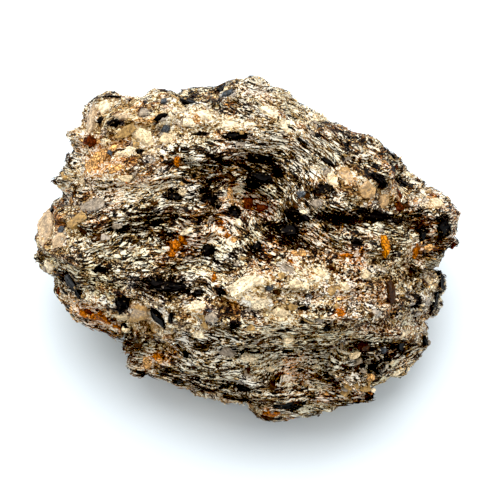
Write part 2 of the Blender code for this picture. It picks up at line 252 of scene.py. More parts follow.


# Crystals placed one by one on the front, by mineral: a, b, length and width, then, where they aren't 0, 6
# and
# 0.15, the turn in degrees, the corners and how proud of the stone
CRYSTALS = {
    Mineral.BLACK: (
        (-6.5, 40.8, 4.2, 1.8, -6, 4), (-33.5, 38.6, 4.4, 0.6, -14), (-14.5, 37.4, 6.8, 1.2, -16),
        (-11.2, 28.2, 4.3, 1, 4), (-2.5, 27.2, 6, 2, 6), (4, 22.2, 7.5, 2.2, -14, 7),
        (7.5, 18.8, 5, 1.8, -26, 7), (1.6, 15.8, 4.6, 2.6, -30, 7), (-9, 12, 5.8, 3.2, -55, 7),
        (-3, 9, 3.4, 3.2), (12.2, 8, 7.2, 2.4, -20), (10.2, 4.6, 6, 3.4, 10), (-17.5, 13.2, 4.4, 2.6, -10),
        (-8.8, -0.8, 3.3, 3.2, 0, 7), (2.2, 0.5, 2.2, 2, 0, 8), (23.8, 26, 3.2, 1, -30, 5),
        (33, 16.8, 5.6, 1.9, -22), (36.6, 19.5, 3, 0.9, -34, 5), (40.2, 16.2, 6.4, 1.9, -36),
        (18.5, 14.5, 4.6, 3, -40), (31.5, 7.6, 11.2, 2.4, -3, 8), (49.2, 5.4, 5.6, 3.4, 78, 7),
        (43.5, 2.6, 3, 2.6), (-43.4, -8.3, 8, 2, -2, 7), (-34.8, -5.8, 3.4, 1.2, 0, 5),
        (-41, -11, 2.2, 1.5, 10), (-30, -14, 6, 2.8, 72, 8), (-30, -20, 2.8, 1.4, -10),
        (-19.5, -8.4, 10.4, 3.4, -8, 9), (-21.6, -16.8, 3.6, 3.4, 40, 7, 0.5), (-18.2, -16.6, 1.6, 2.1),
        (-11.2, -10.2, 2.3, 2), (-6, -10, 2, 2.1), (-2.2, -18.5, 2.5, 1.9, 10), (-15.2, -25.8, 1.8, 1.5),
        (-16, -33.6, 2.9, 2.2, -10), (-26.2, -31.4, 3, 0.9, -8, 5), (13.8, -17.8, 1.6, 1.6),
        (18.8, -19.5, 2, 1.7), (9, -20.2, 4.2, 0.7, 22, 5), (10, -39, 7, 2.6, 2, 8),
        (38.5, -24.2, 2.2, 3.6, 10), (44.2, -23.2, 2, 2), (39.8, -30.8, 1.7, 1.5),
        (30.5, -36.2, 1.5, 3, 10), (48.8, -8.2, 2.6, 3.6, 10, 7), (47.8, -13, 2.4, 3.6, -20, 7),
        (-48.8, 10, 1.6, 1.6, 30, 5), (-36.5, 31.9, 2.2, 1, 0, 5, 0.3), (-33, 31, 4.6, 1.7, 6, 6, 0.3),
        (-21.2, 32.6, 3.6, 1.4, 10, 6, 0.25), (-26.2, 24.5, 1.6, 1.5, 0, 5), (4, 17.5, 7, 2.4, -20, 7, 0.2),
        (20, 21.5, 4.2, 1.2, -40, 5), (14, 26.5, 3.4, 1, -44, 5), (-7, 22.4, 4.4, 1.2, -10),
        (26, 2, 3.6, 1.2, 4, 5), (-22, 6.2, 5.4, 1.6, 12), (-30, 4.4, 4, 1.3, 16),
        (30, -29.5, 4.4, 1.4, 10), (0, -34.5, 3.8, 1.5, -8), (42, -14, 2.4, 1.4, -40),
    ),
    Mineral.SLATE: (
        (-5.2, 39, 5, 1.4, -4, 5), (-19.8, 29, 2.5, 2.4, 30, 5), (5.5, -10, 1.8, 1.2, 20),
        (-45.6, 4.8, 1.9, 1.4, 20, 5), (-20.2, 37.2, 1.7, 1.2, 10, 5), (-33.9, 23.4, 1.9, 1.4),
        (13, 13.5, 2.4, 1.4, -30, 5), (33.5, -25.5, 1.8, 1.2, 20, 5),
    ),
    Mineral.BROWN: (
        (35.2, -10.5, 4, 3.6, 0, 7),
    ),
    Mineral.CREAM: (
        (-24.8, 27, 7.2, 4.8, -30, 5, 0.3), (-29.4, 17, 4.6, 1.8, 4), (-40.6, 16.4, 3.8, 2.2, -10),
        (11.5, -8.5, 3.6, 2.4, 10, 5), (18, -5.2, 4.2, 2.2, 4), (23.5, -9.5, 3.2, 2.2, -20, 5),
        (29, -6.4, 3, 2, 10), (-19.8, 27.5, 4, 3, 20, 5), (-30, -17.4, 4.4, 1.6, -40, 5),
        (8, -15.6, 4.4, 3, -20), (20.4, 17, 2.6, 4.2, 24), (47.6, 12, 3.4, 3, -30, 7),
    ),
    Mineral.WHITE: (
        (-9.5, 33, 5, 2.6, 4), (-14, 31, 4.4, 2.6, -10), (-4.5, 30.8, 4.6, 2.4, -6),
        (0.8, 31, 3.6, 2, -14, 5), (5.6, 34.4, 5.2, 2, -42), (9.6, 30.6, 4.2, 1.8, -44, 5),
        (-48.8, -5, 3.6, 2.4, -24), (-1, -8.8, 7.6, 3, 12, 8, 0.5), (2.6, -7.6, 4, 2.4, 20),
        (-11.6, -13.4, 5, 2.4, 6), (3.2, -13.6, 4.6, 3.2, 10, 7), (0.8, -26.4, 4.6, 2.2, -6),
        (-11.4, -21.2, 3.8, 1.6, 14), (13.4, 8.6, 2.4, 1.8, 10), (-14.2, 3.8, 3.4, 1.6, 24),
        (-1.5, 6, 1.8, 1.8, 0, 9, 0.9), (-29.9, 23.9, 5.8, 2.4, 4, 5, 0.2), (-35.6, 35.4, 4.2, 3.2, 10, 7),
    ),
    Mineral.GREY: (
        (-37.8, 10.8, 7.5, 3, -4, 9), (-34.6, 3, 5.4, 1.8, 14), (-4.2, -25.4, 4.6, 2.6, -4),
        (-8.8, -17, 4, 2.6, 10), (16.6, 10.8, 3.4, 1.8, -20), (9.6, -4.2, 4.2, 2.2),
        (-25.2, 33.9, 2.8, 2.4, 0, 6, 0.3),
    ),
    Mineral.TAN: (
        (-41, 7.2, 6, 3, 14, 7), (-29.4, 28.6, 6.4, 2.4, 32, 7, 0.25),
    ),
    Mineral.PINK: (
        (-49.4, 5.4, 5.4, 7.4, 6, 8), (-45.8, 2.4, 5, 3.4, 20, 7), (-30.6, 32.8, 4.4, 1.6, 0, 7),
        (-38.8, 33.6, 4.4, 4.6, 0, 7),
    ),
    Mineral.CLEAR: (
        (-26.2, -17.2, 5.6, 4.8, -36, 5, 0.6), (-22.4, -20, 3.4, 2.4, 20, 5),
        (29.4, 13.8, 5.2, 4.4, 0, 8, 0.6), (24, 18, 3.6, 5.2, 30, 7), (33.6, 11.6, 4.2, 3.2, -10, 7),
    ),
    Mineral.PEACH: (
        (-38.6, 20.6, 4.2, 3, 30), (-33, 24.8, 4, 1.8, 30, 5), (-43, 12.6, 2.6, 1.8),
        (-36, 22.4, 5.4, 3, 20, 7), (-32, 20.2, 4.4, 2.4, 10), (-3.6, 13.2, 3.4, 3.4, 0, 7),
        (-11.8, 32.6, 1.6, 2.3, 0, 3), (-24.5, -28.4, 2.6, 3.6), (13, -1.4, 5, 1.6, 6),
        (-23.2, 32, 2.6, 1.5, 10),
    ),
    Mineral.AMBER: (
        (-16.6, 0.6, 3.4, 2.4, 40), (-39.6, -16, 3.6, 1.4, -26), (-31.6, -19.4, 3.2, 1.2, -20, 5),
        (-17.2, 21.4, 2.2, 2.6), (-15.4, 1.8, 2.6, 2.6, 30), (-17.6, -1, 2.2, 1.8),
        (-35.4, -17.4, 4.6, 1.8, -24, 7), (-7.9, -7, 1.3, 2.1), (22.2, -14.8, 2.4, 2.2, 0, 7),
        (42, -0.6, 3.2, 1.8, -20), (6.4, -41.4, 4.4, 1.8, -4, 7), (24, -1.4, 3.6, 1.2, 4),
    ),
    Mineral.RUST: (
        (0.8, 11, 4.2, 3.2, -20, 7), (3.8, 9.6, 3, 2.2), (-49.4, 9.6, 1.9, 1.5, 20, 5),
        (-38.4, -15.8, 3, 1.4, -30), (-46.4, -10.2, 1.4, 1.4, 0, 5), (37.8, 10.2, 2.6, 2.1),
        (38, 13.8, 1.5, 1.3, 0, 5), (38, 20.2, 1.5, 1.3, 0, 5), (-39, 26.2, 4.8, 2.2, -6, 7),
    ),
    Mineral.ORANGE: (
        (33.6, 1.2, 2.4, 4, 16, 7, 0.6),
    ),
}

# The crystals sown over the whole stone: how many, by which choice, how rusty the ground is from where on
# they are rusty too, how long they are and how proud of the stone, in millimetres
SOWN_COUNT = 1000
SOWN_SEED = 41
SOWN_RUST = 0.58
SOWN_MM = (0.9, 3.2)
SOWN_PROUD = 0.12


def linear(hex_colour: str) -> Array:
    """Turns an sRGB hex colour to linear light.

    Args:
        hex_colour: six hex digits.

    Returns:
        Red, green and blue from 0 to 1.
    """
    value = np.array([int(hex_colour[i:i + 2], 16) for i in (0, 2, 4)]) / 255
    return np.where(value <= 0.04045, value / 12.92, ((value + 0.055) / 1.055) ** 2.4)


def lattice_noise(points: Array, cell: float, seed: int = 0) -> Array:
    """Smooth noise: random values on a cubic lattice, eased between their neighbours.

    Args:
        points: places, one row each.
        cell: spacing of the lattice.
        seed: which noise.

    Returns:
        A value from -1 to 1 for each place.
    """
    table = np.random.default_rng(NOISE_SEED + seed).uniform(-1, 1, (NOISE_CELLS,) * 3)
    scaled = points / cell + seed * 3.7
    whole = np.floor(scaled).astype(int)
    part = scaled - whole
    ease = part * part * (3 - 2 * part)
    total = np.zeros(len(points))
    for corner in np.ndindex(2, 2, 2):
        weight = np.prod(np.where(corner, ease, 1 - ease), axis=1)
        i, j, k = ((whole + corner) % NOISE_CELLS).T
        total += weight * table[i, j, k]
    return total


def smooth_step(value: Array) -> Array:
    """0 below 0, 1 above 1, eased between: 3v^2 - 2v^3."""
    value = np.clip(value, 0, 1)
    return value * value * (3 - 2 * value)


def unit(vectors: Array) -> Array:
    """Each row divided by its length."""
    return vectors / np.maximum(np.linalg.norm(vectors, axis=-1, keepdims=True), 1e-12)


def vertex_normals(points: Array, quads: Array) -> Array:
    """Outward normals: the cross product of each quad's diagonals, summed at its corners.

    Args:
        points: vertices.
        quads: four vertex numbers for each face.

    Returns:
        A unit normal for each vertex.
    """
    face = np.cross(points[quads[:, 2]] - points[quads[:, 0]], points[quads[:, 3]] - points[quads[:, 1]])
    total = np.stack([
        np.bincount(quads.ravel(), np.repeat(face[:, axis], 4), len(points)) for axis in range(3)
    ], axis=1)
    return unit(total)


def bell(points: Array, parts: tuple) -> Array:
    """Sum of turned bell shapes in the view: strength times exp(-u^2 - v^2).

    Args:
        points: places in the view's axes.
        parts: a, b, half width, half height, turn in degrees and strength of each.

    Returns:
        The sum at each place.
    """
    total = np.zeros(len(points))
    for a, b, wide, tall, turn, amount in parts:
        turn = math.radians(turn)
        across, up = points[:, 0] - a, points[:, 1] - b
        along = (across * math.cos(turn) + up * math.sin(turn)) / wide
        side = (up * math.cos(turn) - across * math.sin(turn)) / tall
        total += amount * np.exp(-(along**2) - side**2)
    return total


@dataclass
class Layers:
    """The layers of mica as two fields that follow LAYER_CLIMB: across them and along them."""

    reach: float = 15.0
    spacing: int = 12
    knots: Array = field(init=False)
    across_amounts: Array = field(init=False)
    along_amounts: Array = field(init=False)

    def __post_init__(self) -> None:
        """Finds the two sums of bells whose slopes best fit the climbs, by least squares."""
        grid = np.meshgrid(np.arange(-60, 61, self.spacing), np.arange(-48, 49, self.spacing))
        self.knots = np.stack(grid, -1).reshape(-1, 2)
        table = np.array(LAYER_CLIMB, float)
        climbs = np.radians(table[:, 2])
        _, slope = self.bumps(table[:, :2])
        rows = np.concatenate([slope[..., 0], slope[..., 1], 0.02 * np.eye(len(self.knots))])
        none = np.zeros(len(self.knots))
        across = np.concatenate([-np.sin(climbs), np.cos(climbs) - 1, none])
        along = np.concatenate([np.cos(climbs) - 1, np.sin(climbs), none])
        self.across_amounts = np.linalg.lstsq(rows, across, rcond=None)[0]
        self.along_amounts = np.linalg.lstsq(rows, along, rcond=None)[0]

    def bumps(self, at: Array) -> tuple[Array, Array]:
        """Each knot's bell and its slope at the places.

        Args:
            at: (a, b) rows.

        Returns:
            Values, one column a knot, and their slopes in a and b.
        """
        gap = at[:, None] - self.knots
        value = np.exp(-(gap**2).sum(-1) / (2 * self.reach**2))
        return value, -gap * value[..., None] / self.reach**2

    def ruffle(self, points: Array) -> Array:
        """How far small folds lift the layers: noise of 7 mm and of 2.8 mm."""
        return 0.9 * lattice_noise(points, 7.0, 25) + 0.07 * lattice_noise(points, 2.8, 26)

    def read_ruffled(self, points: Array, step: float = 0.25) -> tuple[Array, Array]:
        """read with the small folds added to the height, and their slope to the direction.

        Args:
            points: places in the view's axes.
            step: how far apart the heights for the slope are taken, in millimetres.

        Returns:
            Layer coordinates and unit normals.
        """
        coordinates, normals = self.read(points)
        lift = self.ruffle(points)
        slope = [(self.ruffle(points + step * axis) - lift) / step for axis in np.eye(3)]
        coordinates[:, 0] += lift
        return coordinates, unit(normals + np.stack(slope, axis=1))

    def read(self, points: Array, chunk: int = 20000) -> tuple[Array, Array]:
        """The layer coordinates and the direction across the layers.

        Args:
            points: places in the view's axes.
            chunk: how many are worked out at a time.

        Returns:
            (height across the layers, distance along them, c) in millimetres, and unit normals.
        """
        coordinates, normals = [], []
        for start in range(0, len(points), chunk):
            part = points[start:start + chunk]
            # Where the layer through each point meets the view's plane
            level = np.stack([part[:, 0], part[:, 1] + LAYER_DIP * part[:, 2]], axis=1)
            value, slope = self.bumps(level)
            height = level[:, 1] + value @ self.across_amounts
            along = level[:, 0] + value @ self.along_amounts
            lean = np.einsum("pkc,k->pc", slope, self.across_amounts) + (0, 1)
            coordinates.append(np.stack([height, along, part[:, 2]], axis=1))
            normals.append(unit(np.stack([lean[:, 0], lean[:, 1], LAYER_DIP * lean[:, 1]], axis=1)))
        return np.concatenate(coordinates), np.concatenate(normals)


@dataclass
class Stand:
    """Turns the view's axes into the frame's and sets the stone where its solid is."""

    low: Array = field(default_factory=lambda: np.array(CAD_BOX[0]))
    high: Array = field(default_factory=lambda: np.array(CAD_BOX[1]))
    own_low: Array = field(init=False)
    own_high: Array = field(init=False)
    turn: Array = field(init=False)

    def __post_init__(self) -> None:
        """Writes the turn about X that tips the view's plane up to VIEW_ELEVATION."""
        tilt = math.radians(VIEW_ELEVATION)
        self.turn = np.array([
            [1, 0, 0], [0, math.sin(tilt), -math.cos(tilt)], [0, math.cos(tilt), math.sin(tilt)],
        ])

    def cut_base(self, points: Array) -> Array:
        """Turned points, no lower than the flat break."""
        turned = points @ self.turn.T
        turned[:, 2] = np.maximum(turned[:, 2], -BASE_DROP)
        return turned

    def measure(self, points: Array) -> None:
        """Keeps the bounds of the finished skin, which are then laid on the solid's."""
        turned = self.cut_base(points)
        self.own_low, self.own_high = turned.min(axis=0), turned.max(axis=0)

    def place(self, points: Array) -> Array:
        """Metres in the frame: the skin's own bounds laid on the solid's, and nothing past them.

        Args:
            points: places in the view's axes, in millimetres.

        Returns:
            The same places in the frame, in metres.
        """
        share = (self.cut_base(points) - self.own_low) / (self.own_high - self.own_low)
        return np.clip(self.low + share * (self.high - self.low), self.low, self.high)


@dataclass
class LumpForm:
    """The form of the lump on a fine grid: a cube's surface rounded into directions, then shaped."""

    layers: Layers
    cells: int = SKIN_CELLS
    directions: Array = field(init=False)
    quads: Array = field(init=False)

    def __post_init__(self) -> None:
        """Lays a grid on the six faces of a cube and joins them at the shared edges."""
        n = self.cells
        i, j = (g.ravel() for g in np.meshgrid(np.arange(n + 1), np.arange(n + 1), indexing="ij"))
        cell = np.arange(n)[:, None] * (n + 1) + np.arange(n)
        quad = np.stack([cell, cell + n + 1, cell + n + 2, cell + 1], -1).reshape(-1, 4)
        corners, faces = [], []
        for axis in range(3):
            for side in (0, n):
                lattice = np.empty((len(i), 3), int)
                lattice[:, axis] = side
                lattice[:, (axis + 1) % 3], lattice[:, (axis + 2) % 3] = i, j
                faces.append((quad if side else quad[:, ::-1]) + len(corners) * len(i))
                corners.append(lattice)
        shared, index = np.unique(np.concatenate(corners), axis=0, return_inverse=True)
        self.quads = index.reshape(-1)[np.concatenate(faces)]
        self.directions = unit(np.tan((shared / n * 2 - 1) * math.pi / 4))

    def outline_radius(self, angle: Array) -> Array:
        """Distance from the middle to the outline in this direction of the view."""
        corners = np.array(OUTLINE, float)
        turn = np.arctan2(corners[:, 1], corners[:, 0])
        return np.interp(angle, turn, np.hypot(*corners.T), period=2 * math.pi)

    def blurred_radius(self, angle: Array) -> Array:
        """outline_radius averaged over a bell of OUTLINE_BLUR degrees."""
        steps = np.linspace(-2, 2, 17)
        weights = np.exp(-steps**2)
        spread = math.radians(OUTLINE_BLUR)
        total = sum(w * self.outline_radius(angle + s * spread) for s, w in zip(steps, weights))
        return total / weights.sum()

    def away_from_rim(self) -> Array:
        """1 on the front and the back, down to RIM_KEEP at the rim, where the outline is held."""
        return RIM_KEEP + (1 - RIM_KEEP) * smooth_step(np.abs(self.directions[:, 2]) / 0.45)

    def body(self) -> Array:
        """The plain body: the outline at its rim, rising as powers of the direction to both sides."""
        depth = self.directions[:, 2]
        flat = np.hypot(self.directions[:, 0], self.directions[:, 1])
        angle = np.arctan2(self.directions[:, 1], self.directions[:, 0])
        near_rim = np.exp(-((np.arcsin(np.clip(depth, -1, 1)) / RIM_BAND) ** 2))
        even = self.blurred_radius(angle)
        roundness = np.where(depth > 0, FRONT_ROUNDNESS, BACK_ROUNDNESS)
        radius = (even + (self.outline_radius(angle) - even) * near_rim) * flat**roundness
        rise = np.where(depth > 0, FRONT_RISE, -BACK_RISE)
        a, b = radius * np.cos(angle), radius * np.sin(angle)
        return np.stack([a, b, RIM_LEAN * b + rise * np.abs(depth) ** roundness], axis=1)

    def push(self, points: Array, amount: Array) -> Array:
        """Moves each point out along its normal by the amount."""
        return points + amount[:, None] * vertex_normals(points, self.quads)

    def break_faces(self, points: Array, edge: float = 0.9) -> Array:
        """Presses each broken face flat: what stands past it moves back by a soft ramp.

        Args:
            points: the surface.
            edge: how far the edge of a face rounds over, in millimetres.

        Returns:
            The surface with its faces.
        """
        for normal, distance in BREAKS:
            normal = np.array(normal) / np.linalg.norm(normal)
            beyond = points @ normal - distance
            points = points - (edge * np.logaddexp(0, beyond / edge))[:, None] * normal
        return points

    def fit_outline(self, points: Array, sectors: int) -> Array:
        """Scales the outer parts across the view, so that each sector's widest point is on the outline.

        Args:
            points: the surface.
            sectors: how many sectors round the view.

        Returns:
            The surface with the outline of the view.
        """
        angle = np.arctan2(points[:, 1], points[:, 0])
        radius = np.hypot(points[:, 0], points[:, 1])
        sector = np.floor((angle / (2 * math.pi) % 1) * sectors).astype(int) % sectors
        widest = np.zeros(sectors)
        np.maximum.at(widest, sector, radius)
        middle = (np.arange(sectors) + 0.5) * 2 * math.pi / sectors
        reach = np.interp(angle, middle, widest, period=2 * math.pi)
        share = smooth_step((radius / reach - 0.5) / 0.5)
        scale = 1 + (self.outline_radius(angle) / reach - 1) * share
        return points * np.stack([scale, scale, np.ones(len(points))], axis=1)

    def coarse(self) -> Array:
        """The form that the solid has: body, lumps, broken faces, swellings, ledges and outline."""
        keep = self.away_from_rim()
        points = self.body()
        noise = 4.0 * lattice_noise(points, 19.0, 1) + 2.4 * lattice_noise(points, 9.0, 2)
        points = self.break_faces(self.push(points, noise * keep))
        facing = smooth_step(self.directions[:, 2] / 0.35)
        points = self.push(points, bell(points, FRONT_FORMS) * facing)
        height, _, _ = self.layers.read(points)[0].T

        def steps(tall: float, wide: float, steepness: float, seed: int) -> Array:
            """Ledges that follow the layers, this tall and wide in millimetres."""
            cells = np.stack([height / tall, points[:, 0] / wide, points[:, 2] / wide], axis=1)
            return np.tanh(steepness * lattice_noise(cells, 1.0, seed))

        ledge = 1.9 * steps(4.6, 24.0, 2.6, 3) + 0.9 * steps(2.4, 12.0, 2.0, 4)
        ledge = ledge + 0.9 * lattice_noise(points, 4.6, 5)
        return self.fit_outline(self.push(points, ledge * keep), 240)

    def fine(self, points: Array) -> Array:
        """Adds what the solid is too coarse for: splintered mica edges and knobs under a millimetre."""
        height, along, depth = self.layers.read_ruffled(points)[0].T
        splinter = lattice_noise(np.stack([height / 1.3, along / 7, depth / 7], axis=1), 1.0, 6)
        shred = lattice_noise(np.stack([height / 0.7, along / 3.6, depth / 3.6], axis=1), 1.0, 7)
        knobs = lattice_noise(points, 2.1, 8) + 0.6 * lattice_noise(points, 1.0, 9)
        relief = 0.55 * np.tanh(2.4 * splinter) + 0.34 * np.tanh(2 * shred) + 0.30 * knobs
        return self.push(points, relief)


@dataclass
class Makeup:
    """What the stone is made of at each place: how light, how rusty, how grey and how olive it is,
    how far it is granular feldspar instead of felted mica, and how far that is in clean blocks. Its
    lightness also holds painted shade in the front's hollows and painted light on a swelling."""

    light: Array
    rust: Array
    cool: Array
    olive: Array
    block: Array
    clean: Array

    @classmethod
    def read(cls, points: Array, layered: Array, facing: Array) -> "Makeup":
        """Noise stretched along the layers, with the parts given on the front.

        Args:
            points: places in the view's axes.
            layered: their layer coordinates.
            facing: 1 on the front and 0 on the back.

        Returns:
            The makeup at those places, before its crystals.
        """
        def stretched(across: float, along: float, seed: int) -> Array:
            """Noise with cells of these sizes across and along the layers."""
            return lattice_noise(layered / (across, along, along), 1.0, seed)

        # The dark parts are dark mica and also painted shade in the front's hollows; the pale parts are
        # pale feldspar and also painted light on the large swelling low on the right
        dark = bell(points, DARK_MICA_AND_HOLLOW_SHADE_PARTS) * facing
        pale = bell(points, PALE_FELDSPAR_AND_SWELLING_LIGHT_PARTS) * facing
        rusty = bell(points, RUST_PARTS) * facing
        light = 0.525 + 0.09 * stretched(4.5, 20, 11) + 0.10 * lattice_noise(points, 9.0, 13)
        light = light + 0.16 * np.tanh(2.5 * stretched(1.3, 9, 12)) + 0.10 * stretched(0.7, 5.0, 18)
        light = light + 0.12 * np.tanh(2.5 * stretched(2.4, 7, 14)) - 0.74 * dark + 0.42 * pale
        light = light + 0.22 * rusty
        rust = -0.06 + 0.62 * lattice_noise(points, 8.0, 15) + 0.55 * lattice_noise(points, 2.8, 16)
        rust = rust + 1.5 * rusty
        cool = -0.38 + 0.66 * lattice_noise(points, 6.0, 19) + 0.55 * lattice_noise(points, 2.2, 20)
        cool = cool + 0.9 * dark - rusty
        olive = 0.5 + 0.5 * lattice_noise(points, 12.0, 17) + 0.3 * lattice_noise(points, 4.0, 22)
        block = smooth_step((lattice_noise(points, 10.0, 27) - 0.18) / 0.25) * (1 - 0.8 * facing)
        block = block + facing * bell(points, BLOCK_PARTS) - 1.2 * dark
        block = smooth_step((block + 0.3 * lattice_noise(points, 2.6, 28) - 0.25) / 0.3)
        clean = smooth_step((facing * bell(points, CLEAN_PARTS) - 0.3) / 0.4)
        clean = clean + (1 - facing) * smooth_step(3.0 * lattice_noise(points, 7.0, 29))
        shares = (light, rust, cool, olive, block, clean)
        return cls(*(np.clip(share, 0, 1) for share in shares))

    def set_crystals(self, points: Array, seats: list["Seat"]) -> None:
        """Gives the ground round each crystal the crystal's own tone, out to a ragged edge.

        Args:
            points: places in the view's axes.
            seats: the crystals.
        """
        ragged = 0.34 * lattice_noise(points, 1.1, 23) + 0.26 * lattice_noise(points, 0.6, 24)
        for seat in seats:
            near, _, outward = seat.ground(points)
            share = smooth_step((1.2 - outward + ragged[near]) / 0.25)
            tone = seat.mineral.value
            for own, wanted in ((self.light, tone.light), (self.rust, tone.rust), (self.cool, tone.cool)):
                own[near] += (wanted - own[near]) * share

    def at(self, index: Array) -> "Makeup":
        """The makeup at some of the places."""
        shares = (self.light, self.rust, self.cool, self.olive, self.block, self.clean)
        return Makeup(*(share[index] for share in shares))

    def colours(self, light: Array) -> Array:
        """Linear colours of this makeup, with the lightness given.

        Args:
            light: lightness of each place, from 0 to 1.

        Returns:
            Red, green and blue rows.
        """
        def read(stops: tuple) -> Array:
            """The stops' colour at each lightness."""
            places = [place for place, _ in stops]
            table = REFLECTANCE * np.array([linear(colour) for _, colour in stops])
            return np.stack([np.interp(light, places, table[:, i]) for i in range(3)], axis=1)

        plain = read(PLAIN_STOPS) * (1 - self.olive[:, None] * (1 - np.array(OLIVE_TINT)))
        colour = plain + (read(COOL_STOPS) - plain) * self.cool[:, None]
        return colour + (read(RUST_STOPS) - colour) * self.rust[:, None]


@dataclass(frozen=True)
class Seat:
    """A crystal set in the skin: its middle, its three directions and its length and width."""

    mineral: Mineral
    centre: Array
    out: Array
    long: Array
    wide: Array
    size: tuple[float, float]
    corners: int
    proud: float

    def ground(self, points: Array) -> tuple[Array, Array, Array]:
        """Finds the part of the skin round the crystal.

        Args:
            points: the skin.

        Returns:
            Which points, their gaps from its middle, and how far out each is, where 1 is its edge.
        """
        reach = 0.8 * self.size[0] + 0.5
        near = np.flatnonzero((np.abs(points - self.centre) < reach).all(axis=1))
        gap = points[near] - self.centre
        along, side = gap @ self.long / self.size[0] * 2, gap @ self.wide / self.size[1] * 2
        return near, gap, np.hypot(along, side)


@dataclass
class Surface:
    """The finished skin in the view's axes, with what the flakes and grains need to know of it."""

    points: Array
    quads: Array
    normals: Array
    even_normals: Array
    layered: Array
    layer_normals: Array
    makeup: Makeup
    areas: Array = field(init=False)
    seats: list[Seat] = field(default_factory=list)

    @classmethod
    def build(cls, layers: Layers) -> "Surface":
        """Works the whole skin out, then sets the crystals in it."""
        form = LumpForm(layers)
        coarse = form.coarse()
        points = form.fine(coarse)
        normals = vertex_normals(points, form.quads)
        even_normals = unit(vertex_normals(coarse, form.quads) + 0.35 * normals)
        layered, layer_normals = layers.read_ruffled(points)
        facing = smooth_step(form.directions[:, 2] / 0.2 + 0.5)
        makeup = Makeup.read(points, layered, facing)
        surface = cls(points, form.quads, normals, even_normals, layered, layer_normals, makeup)
        surface.measure_areas()
        surface.seats = surface.sown_seats(SOWN_COUNT, SOWN_SEED) + [
            surface.seat(mineral, *row) for mineral, rows in CRYSTALS.items() for row in rows
        ]
        makeup.set_crystals(points, surface.seats)
        surface.bed_crystals()
        return surface

    def measure_areas(self) -> None:
        """Gives each vertex a quarter of the area of each face round it."""
        a, b, c, d = (self.points[self.quads[:, i]] for i in range(4))
        face_area = np.linalg.norm(np.cross(c - a, d - b), axis=1) / 2
        self.areas = np.bincount(self.quads.ravel(), np.repeat(face_area / 4, 4), len(self.points))

    def bed_crystals(self, under: float = 0.12, deepest: float = 1.4, left: float = 1.9) -> None:
        """Presses the skin down to just under each crystal, so that no relief covers it.

        Args:
            under: how far under the crystal's middle the skin comes to lie, in millimetres.
            deepest: how far a place may be pressed in.
            left: what stands higher than this is another part of the stone, and stays.
        """
        for seat in self.seats:
            near, gap, outward = seat.ground(self.points)
            above = gap @ seat.out + under
            sink = np.clip(above, 0, deepest) * smooth_step((1.35 - outward) / 0.35)
            sink[above > left] = 0
            self.points[near] -= np.outer(sink, seat.out)
        self.normals = vertex_normals(self.points, self.quads)
        self.measure_areas()

    def seat(self, mineral: Mineral, a: float, b: float, long: float, wide: float, turn: float = 0.0,
             corners: int = 6, proud: float = 0.15) -> Seat:
        """Sets a crystal at the vertex that shows at (a, b) in the view.

        Args:
            mineral: what it is.
            a, b, long, wide, turn, corners, proud: as in a row of CRYSTALS.

        Returns:
            Where it is, with its width lengthened where the skin leans away from the eye.
        """
        miss = np.hypot(self.points[:, 0] - a, self.points[:, 1] - b)
        shown = np.flatnonzero(miss < miss.min() + 0.4)
        at = shown[np.argmax(self.points[shown, 2])]
        gap = np.linalg.norm(self.points - self.points[at], axis=1)
        out = unit(self.normals[gap < 0.35 * long + 0.5].mean(axis=0))
        centre = self.points[gap < 0.35 * wide + 0.5].mean(axis=0)
        turn = math.radians(turn)
        trace = np.array([math.cos(turn), math.sin(turn), 0.0])
        trace = unit(trace - out * (trace @ out))
        tall = wide / max(abs(out[2]), 0.45)
        return Seat(mineral, centre, out, trace, np.cross(out, trace), (long, tall), corners, proud)

    def sown_seats(self, count: int, seed: int) -> list[Seat]:
        """Crystals all over the stone: each of the mineral nearest to its ground's lightness.

        Args:
            count: how many.
            seed: which choice.

        Returns:
            Their seats.
        """
        rng = np.random.default_rng(seed)
        index = rng.choice(len(self.points), count, p=self.areas / self.areas.sum())
        plain = (Mineral.BLACK, Mineral.BROWN, Mineral.TAN, Mineral.GREY, Mineral.CREAM, Mineral.WHITE)
        rusty = (Mineral.RUST, Mineral.AMBER, Mineral.PEACH)
        seats = []
        for at in index:
            wanted = self.makeup.light[at] + 0.22 * rng.normal()
            choice = rusty if self.makeup.rust[at] + 0.15 * rng.normal() > SOWN_RUST else plain
            mineral = min(choice, key=lambda one: abs(one.value.light - wanted))
            out = unit(self.normals[at] + 0.2 * rng.normal(size=3))
            thin = unit(self.layer_normals[at] + 0.25 * rng.normal(size=3))
            long = unit(np.cross(out, thin))
            size = math.exp(rng.uniform(*map(math.log, SOWN_MM)))
            slender = rng.uniform(0.25, 0.55) if mineral is Mineral.BLACK else rng.uniform(0.4, 0.9)
            seats.append(Seat(mineral, self.points[at], out, long, np.cross(out, long),
                              (size, size * slender), int(rng.integers(4, 7)), SOWN_PROUD))
        return seats


def add_object(name: str, content: bpy.types.ID) -> bpy.types.Object:
    """Puts a mesh, a light or a camera in the scene."""
    made = bpy.data.objects.new(name, content)
    bpy.context.scene.collection.objects.link(made)
    return made


def make_mesh(name: str, points: Array, faces: Array, material: bpy.types.Material) -> bpy.types.Object:
    """Puts whole arrays of points and of faces with the same number of corners into a mesh object.

    Args:
        name: the piece's name.
        points: vertices in metres, in the frame.
        faces: vertex numbers, one row a face.
        material: its finish.

    Returns:
        The object, at the origin and unturned.
    """
    mesh = bpy.data.meshes.new(name)
    mesh.vertices.add(len(points))
    mesh.vertices.foreach_set("co", points.astype(np.float32).ravel())
    corners = faces.shape[1]
    mesh.loops.add(faces.size)
    mesh.loops.foreach_set("vertex_index", faces.astype(np.int32).ravel())
    mesh.polygons.add(len(faces))
    mesh.polygons.foreach_set("loop_start", np.arange(0, faces.size, corners, dtype=np.int32))
    mesh.polygons.foreach_set("use_smooth", np.zeros(len(faces), bool))
    mesh.update(calc_edges=True)
    mesh.validate()
    mesh.materials.append(material)
    return add_object(name, mesh)


